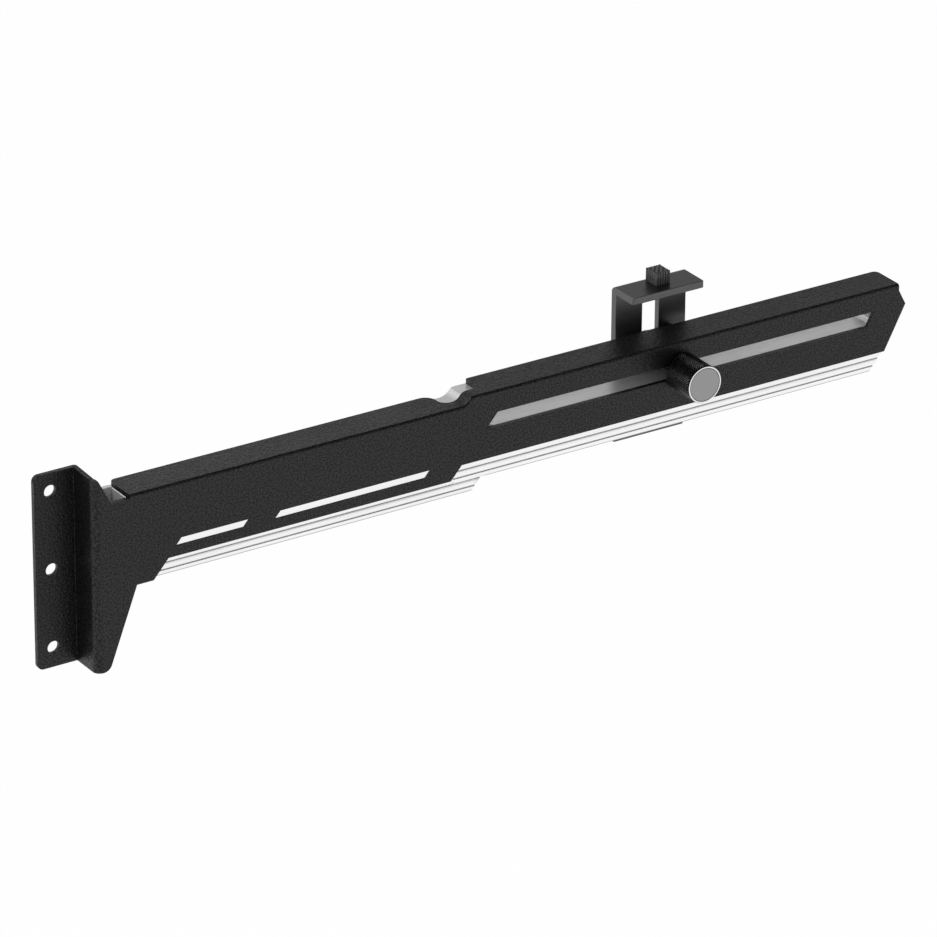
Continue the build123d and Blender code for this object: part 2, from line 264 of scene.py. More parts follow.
def rail_track(tree, across, height):
    """One on the rail's upper right part, which is seen through the sheet's long slot."""
    track_start = rail_low.x + 0.0922
    track_bottom = knob_centre.z - 0.0025
    return product(tree, past(tree, height, track_bottom), past(tree, across, track_start))


def rail_tail(tree, across, depth):
    """One on the thin tail beside the web, but for its back."""
    tail_end = rail_low.x + 0.0081
    back_skin = rail_high.y - 0.0006
    return product(tree, past(tree, across, tail_end, side=-1), past(tree, depth, back_skin, side=-1))


def satin_silver(look):
    """Satin silver with drawn lines, duller in the track, on top, on the tail and at the ends. Painted
    light: the track is lighter than the rest, upward faces are darkened along the lines, and the end
    faces and the bottom edge carry painted shade.
    """
    material, tree, shader = new_material("drawn_silver")
    place = object_place(tree)
    drawn = object_place(tree, stretch=(0.02, 1, 1))
    lines = noise(tree, drawn, scale=5200.0, detail=2.0, rough=0.6)
    wide_lines = noise(tree, drawn, scale=900.0, detail=2.0, rough=0.5)
    cloud = noise(tree, place, scale=35.0, detail=2.0)
    across, depth, height = axes(tree, place)
    end_on, backward, upward = axes(tree, facing(tree))
    track = rail_track(tree, across, height)
    on_top = past(tree, upward, 0.35)
    on_back = past(tree, backward, 0.5)
    shaded_ends = past(tree, absolute(tree, end_on), 0.85)
    matt = largest(tree, rail_tail(tree, across, depth), shaded_ends)
    dull = largest(tree, track, largest(tree, matt, on_top))
    silver = look.silver_colour
    colour = tint(tree, wide_lines, shade(silver, 0.95), silver)
    # Painted shade: a darker band along the rail's bottom edge.
    colour = mix_colour(tree, rail_bottom_shade(tree, across, height), colour, look.edge_shade_colour)
    # Painted light: the track behind the long slot is painted lighter than the rest of the rail, where
    # the sheet shades it.
    colour = mix_colour(tree, track, colour, look.track_painted_light_colour)
    # Painted shade: upward faces are darkened along the drawn lines; the lines are grain, but their
    # darkening on top only is painted shade.
    colour = mix_colour(tree, product(tree, on_top, lines), colour, shade(silver, 0.6))
    colour = mix_colour(tree, product(tree, on_back, wide_lines), colour, look.back_colour)
    # Painted shade: the rail's end faces are painted darker.
    colour = mix_colour(tree, shaded_ends, colour, look.end_shade_colour)
    rough = added(tree, spread(tree, cloud, 0.22, 0.28), blend(tree, dull, 0.0, 0.1))
    dress_shader(tree, shader, colour, rough, bump(tree, lines, depth=0.000004, strength=0.6))
    metal = added(tree, blend(tree, dull, 1.0, 0.4), blend(tree, track, 0.0, 0.25))
    wire(tree, added(tree, metal, blend(tree, matt, 0.0, -0.4)), shader.inputs["Metallic"])
    return material


def silver_edge(look):
    """The rail's sharp edges, a little darker than its faces: painted shade."""
    return plated_steel("rail_edges_painted_shade", look.edge_shade_colour)


def black_anodised(look, name="grained_anodising", lightness=1.0):
    """Dark anodised sheet with a faint directional grain."""
    material, tree, shader = new_material(name)
    place = object_place(tree)
    drawn = object_place(tree, stretch=(0.06, 1, 1))
    lines = noise(tree, drawn, scale=3800.0, detail=2.0, rough=0.6)
    cloud = noise(tree, place, scale=90.0, detail=3.0)
    speck = noise(tree, place, scale=2200.0, detail=2.0, rough=0.6)
    base = shade(look.anodised_colour, lightness)
    colour = tint(tree, lines, shade(base, 0.88), shade(base, 1.12))
    colour = mix_colour(tree, spread(tree, speck, 0.0, 0.3), colour, shade(base, 0.7))
    relief = bump(tree, speck, depth=0.00001, strength=0.5)
    dress_shader(tree, shader, colour, spread(tree, cloud, 0.32, 0.38), relief, metallic=1.0)
    return material


def anodised_edge(look):
    """The arm's rolled edges, a little lighter as a painted highlight."""
    return black_anodised(look, "anodising_edge_highlight", lightness=1.35)


def knob_black(look):
    """Black anodised knurling, with a painted highlight on the tips of the diamonds."""
    material, tree, shader = new_material("knurled_black")
    cloud = noise(tree, object_place(tree), scale=700.0, detail=3.0)
    colour = tint(tree, cloud, shade(look.knob_colour, 0.7), look.knob_colour)
    # Painted highlight: the tips of the diamonds are painted bright as glints.
    colour = mix_colour(tree, stored(tree, "crest", 0.6, 0.95), colour, look.knob_crest_glint_colour)
    relief = bump(tree, cloud, depth=0.00001, strength=0.4)
    dress_shader(tree, shader, colour, spread(tree, cloud, 0.2, 0.3), relief, metallic=1.0)
    return material


def turned_rings(tree, scale):
    """Fine rings round the knob's axis, as a lathe tool leaves them."""
    place = tree.nodes.new("ShaderNodeTexCoord")
    mapping = tree.nodes.new("ShaderNodeMapping")
    mapping.inputs["Location"].default_value = (-knob_centre.x, 0, -knob_centre.z)
    mapping.inputs["Scale"].default_value = (1, 0, 1)
    wire(tree, place.outputs["Object"], mapping.inputs["Vector"])
    length = tree.nodes.new("ShaderNodeVectorMath")
    length.operation = "LENGTH"
    wire(tree, mapping.outputs["Vector"], length.inputs[0])
    across = tree.nodes.new("ShaderNodeCombineXYZ")
    wire(tree, length.outputs["Value"], across.inputs["X"])
    return noise(tree, across.outputs["Vector"], scale, detail=2.0, rough=0.6)


def knob_face(look):
    """The knob's turned face, satin grey with fine rings."""
    material, tree, shader = new_material("knob_face")
    rings = turned_rings(tree, scale=9000.0)
    colour = tint(tree, rings, shade(look.knob_face_colour, 0.94), shade(look.knob_face_colour, 1.05))
    relief = bump(tree, rings, depth=0.000004, strength=0.5)
    dress_shader(tree, shader, colour, spread(tree, rings, 0.36, 0.44), relief, metallic=1.0)
    return material


def cut_edge(look):
    """The bright ring cut after the knob was anodised."""
    material, tree, shader = new_material("cut_edge")
    cloud = noise(tree, object_place(tree), scale=2500.0, detail=2.0)
    colour = tint(tree, cloud, shade(look.ring_colour, 0.95), look.ring_colour)
    relief = bump(tree, cloud, depth=0.000003, strength=0.3)
    dress_shader(tree, shader, colour, spread(tree, cloud, 0.18, 0.26), relief, metallic=1.0)
    return material


def black_rubber(look, name="moulded_rubber", ridges=False):
    """Matte moulded rubber with painted shade in its valleys; the pad's top has slanting ridges, and
    painted shade darkens the whole top, most in the grooves.
    """
    material, tree, shader = new_material(name)
    place = object_place(tree)
    grain = noise(tree, place, scale=4200.0, detail=3.0, rough=0.6)
    dust = noise(tree, place, scale=900.0, detail=3.0)
    colour = tint(tree, dust, shade(look.rubber_colour, 0.7), shade(look.rubber_colour, 1.5))
    relief = bump(tree, grain, depth=0.00002, strength=0.6)
    if ridges:
        grooves = stripes(tree, place, scale=300.0, turn=math.radians(38), wobble=0.4)
        ridged = reckon(tree, "SUBTRACT", stored(tree, "crest", 0, 1), grooves)
        relief = bump(tree, ridged, depth=0.00016, under=relief)
        # Painted shade: the ridged top is darkened all over, most in the grooves.
        valley_shade = spread(tree, grooves, 0.45, 1.0)
    else:
        # Painted shade in the valleys between the side ribs.
        valley_shade = stored(tree, "crest", 0.6, 0.1)
    colour = mix_colour(tree, valley_shade, colour, shade(look.rubber_colour, 0.08))
    dress_shader(tree, shader, colour, spread(tree, grain, 0.5, 0.62), relief)
    return material


def ridged_rubber(look):
    """The rubber of the pad's ridged top."""
    return black_rubber(look, "ridged_rubber", ridges=True)


def black_nylon(look):
    """Moulded black nylon."""
    material, tree, shader = new_material("moulded_nylon")
    grain = noise(tree, object_place(tree), scale=2600.0, detail=2.0)
    colour = tint(tree, grain, shade(look.nylon_colour, 0.6), look.nylon_colour)
    relief = bump(tree, grain, depth=0.00001, strength=0.4)
    dress_shader(tree, shader, colour, spread(tree, grain, 0.45, 0.56), relief)
    return material


def plated_steel(name, colour):
    """Small steel parts: a bloomed plate over fine tool marks."""
    material, tree, shader = new_material(name)
    place = object_place(tree)
    bloom = noise(tree, place, scale=1100.0, detail=4.0)
    marks = noise(tree, place, scale=5200.0, detail=2.0)
    plate = tint(tree, bloom, shade(colour, 0.8), colour)
    relief = bump(tree, marks, depth=0.000006, strength=0.5)
    dress_shader(tree, shader, plate, spread(tree, bloom, 0.24, 0.38), relief, metallic=1.0)
    return material


def zinc_plate(look):
    """Bright zinc plate."""
    return plated_steel("bright_zinc", look.zinc_colour)


def black_steel(look):
    """Blackened steel of the clamp screw and its washer."""
    return plated_steel("blackened_steel", look.black_steel_colour)


# Meshes

def new_piece(name, mesh_data, body, materials):
    """Links a mesh as a piece of the object that rides on a body."""
    piece = bpy.data.objects.new(name, mesh_data)
    bpy.context.scene.collection.objects.link(piece)
    for material in materials:
        mesh_data.materials.append(material)
    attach(piece, body)
    return piece


def finish_mesh(bm, name, smooth_angle):
    """Closes a bmesh into mesh data, smooth except over edges sharper than an angle in degrees."""
    bmesh.ops.recalc_face_normals(bm, faces=bm.faces)
    limit = math.radians(smooth_angle)
    for face in bm.faces:
        face.smooth = True
    for edge in bm.edges:
        edge.smooth = edge.calc_face_angle(0.0) < limit
    mesh_data = bpy.data.meshes.new(name)
    bm.to_mesh(mesh_data)
    bm.free()
    return mesh_data


def dress_node(name, materials, edge_radius):
    """Gives a CAD node its finish and small rounded edges; a second finish goes on the edges."""
    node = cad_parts[name]
    node.data.materials.clear()
    for material in materials:
        node.data.materials.append(material)
    weld = node.modifiers.new("weld", "WELD")
    weld.merge_threshold = 0.000002
    flat = node.modifiers.new("flat_faces", "DECIMATE")
    flat.decimate_type = "DISSOLVE"
    flat.angle_limit = math.radians(0.5)
    if edge_radius > 0:
        bevel = node.modifiers.new("soft_edges", "BEVEL")
        bevel.width = edge_radius
        bevel.segments = 2
        bevel.limit_method = "ANGLE"
        bevel.angle_limit = math.radians(35)
        bevel.harden_normals = True
        bevel.material = len(materials) - 1 if len(materials) > 1 else -1
    normals = node.modifiers.new("normals", "WEIGHTED_NORMAL")
    normals.keep_sharp = True


def store_value(mesh_data, name, value_at):
    """Stores a value at every corner of a mesh for its finish to use."""
    layer = mesh_data.attributes.new(name, "FLOAT", "POINT")
    for corner, item in zip(mesh_data.vertices, layer.data):
        item.value = max(0.0, value_at(corner.co))


def ring_point(centre, radius, angle, y):
    """A point round an axis along Y."""
    return Vector((centre.x + radius * math.cos(angle), y, centre.z + radius * math.sin(angle)))


def lathe(bm, centre, profile, segments, materials=None, radius_at=None):
    """Turns a profile of (radius, y) round an axis along Y; a radius of nought closes an end."""
    rings = []
    for radius, y in profile:
        if radius <= 0:
            rings.append([bm.verts.new((centre.x, y, centre.z))])
            continue
        ring = []
        for n in range(segments):
            angle = 2 * math.pi * n / segments
            actual = radius_at(angle, y, radius) if radius_at else radius
            ring.append(bm.verts.new(ring_point(centre, actual, angle, y)))
        rings.append(ring)
    for index, (first, second) in enumerate(zip(rings, rings[1:])):
        for n in range(segments):
            m = (n + 1) % segments
            corners = [
                first[n % len(first)],
                first[m % len(first)],
                second[m % len(second)],
                second[n % len(second)],
            ]
            unique = list(dict.fromkeys(corners))
            for part in folded(unique, radius_at, centre):
                bm.faces.new(part).material_index = materials[index] if materials else 0


def folded(corners, radius_at, centre):
    """A four-cornered patch split along the diagonal that follows the relief."""
    if radius_at is None or len(corners) < 4:
        return [corners]
    middle_place = sum((corner.co for corner in corners), Vector()) / 4
    across = middle_place - Vector((centre.x, middle_place.y, centre.z))
    wanted = radius_at(math.atan2(across.z, across.x), middle_place.y, None)
    if wanted is None:
        return [corners]

    def depth(first, second):
        place = (corners[first].co + corners[second].co) / 2
        return (place - Vector((centre.x, place.y, centre.z))).length

    if abs(depth(0, 2) - wanted) < abs(depth(1, 3) - wanted):
        return [[corners[0], corners[1], corners[2]], [corners[0], corners[2], corners[3]]]
    return [[corners[0], corners[1], corners[3]], [corners[1], corners[2], corners[3]]]


FINISHES = {}


def finishes():
    """The bracket's finishes, made once."""
    look = bpy.context.scene.bracket_finish
    makers = (
        powder_coat,
        powder_edge,
        satin_silver,
        silver_edge,
        black_anodised,
        anodised_edge,
        knob_black,
        knob_face,
        cut_edge,
        black_rubber,
        ridged_rubber,
        black_nylon,
        zinc_plate,
        black_steel,
    )
    for maker in makers:
        if maker.__name__ not in FINISHES:
            FINISHES[maker.__name__] = maker(look)
    return FINISHES


def tri(value):
    """A zigzag from 0 at whole numbers to 1 halfway."""
    part = value - math.floor(value)
    return 1 - abs(2 * part - 1)


# Settings

COLOUR = {"subtype": "COLOR", "size": 3, "min": 0, "max": 1}
LENGTH = {"subtype": "DISTANCE", "unit": "LENGTH", "min": 0.0}
POWER = {"subtype": "POWER", "unit": "POWER", "min": 0.0}


class FinishSettings(bpy.types.PropertyGroup):
    """Colours and grains of the finishes"""

    powder_colour: FloatVectorProperty(
        name="Powder coat",
        description="Colour of the sheet's powder coat",
        default=(0.004, 0.004, 0.004),
        **COLOUR,
    )
    powder_grain: FloatProperty(
        name="Powder grain",
        description="Grains of powder coat in a metre",
        default=2500.0,
        min=100.0,
    )
    powder_sheen: FloatProperty(
        name="Powder sheen",
        description="Strength of the coat's sheen",
        default=0.355,
        min=0.0,
        max=1.0,
    )
    silver_colour: FloatVectorProperty(
        name="Silver",
        description="Colour of the rail",
        default=(0.96, 0.96, 0.96),
        **COLOUR,
    )
    # Painted light: the track is painted lighter than the rail with this colour.
    track_painted_light_colour: FloatVectorProperty(
        name="Track",
        description="Lighter colour of the rail behind the long slot, as painted light",
        default=(1.0, 1.0, 1.0),
        **COLOUR,
    )
    # Painted shade: the rail's sharp edges and its bottom edge are darkened with this colour.
    edge_shade_colour: FloatVectorProperty(
        name="Rail edges",
        description="Painted shade on the rail's sharp edges and bottom edge",
        default=(0.45, 0.45, 0.45),
        **COLOUR,
    )
    back_colour: FloatVectorProperty(
        name="Back",
        description="Colour of the darker lines on the rail's back",
        default=(0.6, 0.6, 0.6),
        **COLOUR,
    )
    # Painted shade: the rail's end faces are darkened with this colour.
    end_shade_colour: FloatVectorProperty(
        name="Shaded ends",
        description="Painted shade on the rail's end faces",
        default=(0.48, 0.48, 0.48),
        **COLOUR,
    )
    anodised_colour: FloatVectorProperty(
        name="Arm",
        description="Colour of the arm's anodising",
        default=(0.118, 0.118, 0.119),
        **COLOUR,
    )
    knob_colour: FloatVectorProperty(
        name="Knob",
        description="Colour of the knurled side",
        default=(0.004, 0.004, 0.004),
        **COLOUR,
    )
    # Painted highlight: the glints on the tips of the knurling are painted in this colour.
    knob_crest_glint_colour: FloatVectorProperty(
        name="Knob crests",
        description="Painted glints on the tips of the knurling",
        default=(0.3, 0.3, 0.3),
        **COLOUR,
    )
    knob_face_colour: FloatVectorProperty(
        name="Knob face",
        description="Colour of the knob's turned face",
        default=(0.33, 0.33, 0.332),
        **COLOUR,
    )
    ring_colour: FloatVectorProperty(
        name="Knob ring",
        description="Colour of the bright ring round the knob's face",
        default=(0.85, 0.85, 0.85),
        **COLOUR,
    )
    rubber_colour: FloatVectorProperty(
        name="Rubber",
        description="Colour of the pad",
        default=(0.11, 0.11, 0.11),
        **COLOUR,
    )
    nylon_colour: FloatVectorProperty(
        name="Nylon",
        description="Colour of the slide block",
        default=(0.02, 0.02, 0.02),
        **COLOUR,
    )
    zinc_colour: FloatVectorProperty(
        name="Zinc",
        description="Colour of the plated studs and nuts",
        default=(0.68, 0.69, 0.7),
        **COLOUR,
    )
    black_steel_colour: FloatVectorProperty(
        name="Black steel",
        description="Colour of the clamp screw and its washer",
        default=(0.06, 0.06, 0.06),
        **COLOUR,
    )


class EdgeSettings(bpy.types.PropertyGroup):
    """Small radii along the edges"""

    sheet: FloatProperty(
        name="Sheet edges",
        description="Rounding of the coated sheet's edges",
        default=0.00018,
        **LENGTH,
    )
    rail: FloatProperty(
        name="Rail edges",
        description="Rounding of the rail's edges",
        default=0.00008,
        **LENGTH,
    )
    arm: FloatProperty(
        name="Arm edges",
        description="Rounding of the arm's edges",
        default=0.00016,
        **LENGTH,
    )
    small: FloatProperty(
        name="Small parts",
        description="Rounding of the small parts' edges",
        default=0.0001,
        **LENGTH,
    )


class KnobSettings(bpy.types.PropertyGroup):
    """The knob's knurling and face"""

    diamonds: IntProperty(
        name="Diamonds",
        description="Diamonds round the knob",
        default=42,
        min=8,
    )
    knurl_depth: FloatProperty(
        name="Knurl depth",
        description="Depth of the grooves between the diamonds",
        default=0.0002,
        **LENGTH,
    )
    chamfer: FloatProperty(
        name="Front chamfer",
        description="Black chamfer outside the bright ring",
        default=0.00015,
        **LENGTH,
    )
    ring: FloatProperty(
        name="Bright ring",
        description="Width of the bright ring round the face",
        default=0.00036,
        **LENGTH,
    )
    groove: FloatProperty(
        name="Face groove",
        description="Width and depth of the fine groove inside the ring",
        default=0.00012,
        **LENGTH,
    )


class PadSettings(bpy.types.PropertyGroup):
    """The rubber pad's ribs"""

    ribs: IntProperty(
        name="Ribs",
        description="Ribs along each side of the pad",
        default=6,
        min=2,
    )
    rib_depth: FloatProperty(
        name="Rib depth",
        description="Depth of the valleys between the ribs",
        default=0.00035,
        **LENGTH,
    )


class FastenerSettings(bpy.types.PropertyGroup):
    """Threads of the studs"""

    pitch: FloatProperty(
        name="Thread pitch",
        description="Pitch of the stud's thread",
        default=0.0005,
        min=0.0001,
        subtype="DISTANCE",
        unit="LENGTH",
    )
    thread_depth: FloatProperty(
        name="Thread depth",
        description="Depth of the stud's thread",
        default=0.00022,
        **LENGTH,
    )


class StageSettings(bpy.types.PropertyGroup):
    """Floor, room and lamps"""

    floor_drop: FloatProperty(
        name="Floor",
        description="How far the floor lies under the bracket's origin",
        default=0.3,
        **LENGTH,
    )
    floor_colour: FloatVectorProperty(
        name="Floor colour",
        description="Colour of the floor",
        default=(0.9, 0.9, 0.9),
        **COLOUR,
    )
    room: FloatProperty(
        name="Room",
        description="Brightness of the pale room round the bracket",
        default=0.5,
        min=0.0,
    )
    lamp: FloatProperty(
        name="Lamp",
        description="Power of the large soft lamp",
        default=20.0,
        **POWER,
    )
    back_panel: FloatProperty(
        name="Back panel",
        description="Power of the pale panel behind",
        default=0.4,
        **POWER,
    )


# Pieces

class BRACKET_OT_sheet(bpy.types.Operator):
    """Folded sheet: powder coat and rolled edges"""

    bl_idname = "bracket.sheet"
    bl_label = "Folded sheet"

    def execute(self, context):
        made = finishes()
        coats = [made["powder_coat"], made["powder_edge"]]
        dress_node("folded_bracket", coats, context.scene.bracket_edges.sheet)
        return {"FINISHED"}


class BRACKET_OT_rail(bpy.types.Operator):
    """Silver rail behind the bar"""

    bl_idname = "bracket.rail"
    bl_label = "Backing rail"

    def execute(self, context):
        made = finishes()
        silvers = [made["satin_silver"], made["silver_edge"]]
        dress_node("backing_rail", silvers, context.scene.bracket_edges.rail)
        return {"FINISHED"}


class BRACKET_OT_arm(bpy.types.Operator):
    """Support arm and the slide block behind the rail"""

    bl_idname = "bracket.arm"
    bl_label = "Support arm"

    def execute(self, context):
        made = finishes()
        edges = context.scene.bracket_edges
        blacks = [made["black_anodised"], made["anodised_edge"]]
        dress_node("support_arm", blacks, edges.arm)
        dress_node("slide_block", [made["black_nylon"]], edges.small)
        return {"FINISHED"}


# Places of the knob's finishes in its list of materials
BLACK, BRIGHT, GREY = range(3)


class BRACKET_OT_knob(bpy.types.Operator):
    """Diamond-knurled knob with a bright ring round its turned face"""

    bl_idname = "bracket.knob"
    bl_label = "Knob"

    def front(self, settings, radius, bed):
        """The turned front, from the middle out: face, groove, bright ring and chamfer."""
        bevel = 0.00003
        face_slope = 0.00005
        face_fall = 0.00007
        ring_fall = 0.00002
        rim = radius - settings.chamfer
        ring_in = rim - settings.ring
        face_edge = ring_in - settings.groove
        groove_slope = 0.3 * settings.groove
        return [
            (0.0, knob_low.y + bevel, GREY),
            (face_edge - face_slope, knob_low.y + bevel, GREY),
            (face_edge, knob_low.y + face_fall, BLACK),
            (face_edge + groove_slope, knob_low.y + settings.groove, BLACK),
            (ring_in - groove_slope, knob_low.y + settings.groove, BLACK),
            (ring_in, knob_low.y + ring_fall, BRIGHT),
            (ring_in + bevel, knob_low.y, BRIGHT),
            (rim - bevel, knob_low.y, BRIGHT),
            (rim, knob_low.y + bevel, BLACK),
            (bed, knob_low.y + settings.chamfer, BLACK),
        ]

    def rear(self, bed, knurl_end):
        """The plain rear: a land, a chamfer and the screw's blind bore."""
        land_sink = 0.0001
        chamfer = 0.0003
        bore = 0.0018
        bore_end = knob_high.y - 0.008
        land = bed - land_sink
        return [
            (land, knurl_end + land_sink, BLACK),
            (land, knob_high.y - chamfer, BLACK),
            (land - chamfer, knob_high.y, BLACK),
            (bore, knob_high.y, BLACK),
            (bore, bore_end, BLACK),
            (0.0, bore_end, BLACK),
        ]

    def execute(self, context):
        settings = context.scene.bracket_knob
        radius = (knob_high.x - knob_low.x) / 2
        bed = radius - 0.3 * settings.knurl_depth
        bed_slope = 0.00006
        front_land = 0.0002
        rear_land = 0.0005
        start = knob_low.y + settings.chamfer + front_land
        end = knob_high.y - rear_land
        steps = 6
        pitch = 2 * math.pi * radius / settings.diamonds
        rows = round((end - start) / pitch * steps)

        def on_knurling(y):
            return start - SAME_PLACE <= y <= end + SAME_PLACE

        def knurled(angle, y, plain):
            if not on_knurling(y):
                return plain
            turn = settings.diamonds * angle / (2 * math.pi)
            along = (y - start) / pitch
            peak = min(tri(turn + along), tri(turn - along))
            return radius - settings.knurl_depth * (1 - peak)

        def crest(place):
            reach = math.hypot(place.x - knob_centre.x, place.z - knob_centre.z)
            return 1 - (radius - reach) / settings.knurl_depth if on_knurling(place.y) else 0.0

        sections = self.front(settings, radius, bed)
        sections.append((bed, start - bed_slope, BLACK))
        for row in range(rows + 1):
            sections.append((radius, start + (end - start) * row / rows, BLACK))
        sections += self.rear(bed, end)
        profile = [section[:2] for section in sections]
        finish_places = [section[2] for section in sections]
        bm = bmesh.new()
        lathe(bm, knob_centre, profile, settings.diamonds * steps, finish_places, knurled)
        mesh_data = finish_mesh(bm, "knurled_knob", smooth_angle=20.0)
        store_value(mesh_data, "crest", crest)
        made = finishes()
        materials = [made["knob_black"], made["cut_edge"], made["knob_face"]]
        piece = new_piece("knurled_knob", mesh_data, "knob", materials)
        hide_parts("knob")
        return {"FINISHED"}


class BRACKET_OT_pad(bpy.types.Operator):
    """Ribbed rubber pad on the arm's shelf"""

    bl_idname = "bracket.pad"
    bl_label = "Arm pad"

    def outline(self, half, depth, ribs, inset):
        """Points round the pad, waved along its sides."""
        steps = ribs * 8
        corners = ((-half.x, -half.y), (half.x, -half.y), (half.x, half.y), (-half.x, half.y))
        points = []
        for index, corner in enumerate(corners):
            following = corners[(index + 1) % 4]
            start = Vector((*corner, 0))
            along = Vector((*following, 0)) - start
            inward = Vector((-along.y, along.x, 0)).normalized()
            for n in range(steps):
                t = n / steps
                wave = depth * (1 - abs(math.sin(math.pi * ribs * t))) if n else depth
                shift = inward * (wave + inset)
                if n == 0:
                    shift += along.normalized() * (wave + inset)
                points.append(start + along * t + shift)
        return points

    def execute(self, context):
        settings = context.scene.bracket_pad
        low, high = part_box("arm_pad")
        centre = (low + high) / 2
        half = (high - low) / 2
        foot = 0.0001
        soft = 0.00025
        soft_steps = 3
        levels = [(low.z, foot), (low.z + foot, 0.0), (high.z - soft, 0.0)]
        for n in range(1, soft_steps + 1):
            angle = math.pi / 2 * n / soft_steps
            levels.append((high.z - soft + soft * math.sin(angle), soft * (1 - math.cos(angle))))
        bm = bmesh.new()
        rings = []
        for z, inset in levels:
            points = self.outline(half, settings.rib_depth, settings.ribs, inset)
            rings.append([bm.verts.new((centre.x + p.x, centre.y + p.y, z)) for p in points])
        for first, second in zip(rings, rings[1:]):
            count = len(first)
            for n in range(count):
                m = (n + 1) % count
                bm.faces.new((first[n], first[m], second[m], second[n]))
        bm.faces.new(rings[-1]).material_index = 1
        bm.faces.new(list(reversed(rings[0])))
        mesh_data = finish_mesh(bm, "ribbed_pad", smooth_angle=50.0)

        def crest(place):
            inset = min(half.x - abs(place.x - centre.x), half.y - abs(place.y - centre.y))
            return 1 - inset / settings.rib_depth

        store_value(mesh_data, "crest", crest)
        made = finishes()
        rubbers = [made["black_rubber"], made["ridged_rubber"]]
        piece = new_piece("ribbed_pad", mesh_data, "arm", rubbers)
        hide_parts("arm_pad")
        return {"FINISHED"}


class BRACKET_OT_clamp(bpy.types.Operator):
    """Clamp screw and its washer"""

    bl_idname = "bracket.clamp"
    bl_label = "Clamp screw and washer"

    def execute(self, context):
        small = context.scene.bracket_edges.small
        for name in ("clamp_screw", "screw_washer"):
            dress_node(name, [finishes()["black_steel"]], small)
        return {"FINISHED"}


class BRACKET_OT_rail_studs(bpy.types.Operator):
    """Threaded weld studs through the rail"""

    bl_idname = "bracket.rail_studs"
    bl_label = "Rail studs"

    def execute(self, context):
        settings = context.scene.bracket_fasteners
        for name in sorted(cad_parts):
            if name.startswith("weld_stud_"):
                self.make_stud(name, settings)
        return {"FINISHED"}

    def make_stud(self, name, settings):
        """A stud with a thread over its outer end, a plain shank and a weld collar."""
        low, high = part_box(name)
        centre = (low + high) / 2
        radius = (high.x - low.x) / 2
        collar = 0.0003
        shank = radius - 0.0001
        run_out = 0.0002
        tip = 0.0003
        thread_low = high.y - 0.0042
        thread_high = high.y - tip
        rows_a_turn = 8
        rows = round((thread_high - thread_low) / settings.pitch * rows_a_turn)
        crest_slope = 1.25

        def threaded(angle, y, plain):
            if not thread_low - SAME_PLACE <= y <= thread_high + SAME_PLACE:
                return plain
            turn = tri((y - thread_low) / settings.pitch - angle / (2 * math.pi))
            return radius - settings.thread_depth * (1 - min(1.0, crest_slope * turn))

        profile = [
            (0.0, low.y),
            (radius, low.y),
            (radius, low.y + collar),
            (shank, low.y + 2 * collar),
            (shank, thread_low - run_out),
        ]
        for row in range(rows + 1):
            profile.append((radius, thread_low + (thread_high - thread_low) * row / rows))
        profile += [(radius - tip, high.y), (0.0, high.y)]
        bm = bmesh.new()
        lathe(bm, centre, profile, segments=32, radius_at=threaded)
        mesh_data = finish_mesh(bm, name + "_thread", smooth_angle=28.0)
        zinc = [finishes()["zinc_plate"]]
        piece = new_piece(name + "_thread", mesh_data, "bracket", zinc)
        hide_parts(name)


class BRACKET_OT_rail_nuts(bpy.types.Operator):
    """Chamfered hexagon nuts that hold the rail"""

    bl_idname = "bracket.rail_nuts"
    bl_label = "Rail nuts"

    def execute(self, context):
        for name in sorted(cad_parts):
            if name.startswith("rail_nut_"):
                self.make_nut(name)
        return {"FINISHED"}

    def make_nut(self, name):
        """A hexagon cut back by a cone at both ends, with a chamfered bore."""
        low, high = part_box(name)
        centre = (low + high) / 2
        flat = (high.z - low.z) / 2
        bore = 0.00151
        bore_chamfer = 0.0002
        cone_radius = flat * 0.97
        cone_slope = 1.8
        rise = [0.0001 * n for n in range(5)]

        def hexagon(angle, y, plain):
            if plain is None or plain < flat:
                return plain
            turn = (angle + math.pi / 6) % (math.pi / 3) - math.pi / 6
            side = flat / math.cos(math.pi / 6 - abs(turn))
            reach = min(y - low.y, high.y - y)
            return min(side, cone_radius + reach * cone_slope)

        mouth = (bore, low.y + bore_chamfer)
        profile = [mouth, (bore + bore_chamfer, low.y)]
        profile += [(flat, low.y + step) for step in rise]
        profile += [(flat, high.y - step) for step in reversed(rise)]
        profile += [(bore + bore_chamfer, high.y), (bore, high.y - bore_chamfer), mouth]
        bm = bmesh.new()
        lathe(bm, centre, profile, segments=72, radius_at=hexagon)
        bmesh.ops.remove_doubles(bm, verts=bm.verts, dist=1e-7)
        mesh_data = finish_mesh(bm, name + "_hexagon", smooth_angle=25.0)
        zinc = [finishes()["zinc_plate"]]
        piece = new_piece(name + "_hexagon", mesh_data, "bracket", zinc)
        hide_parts(name)


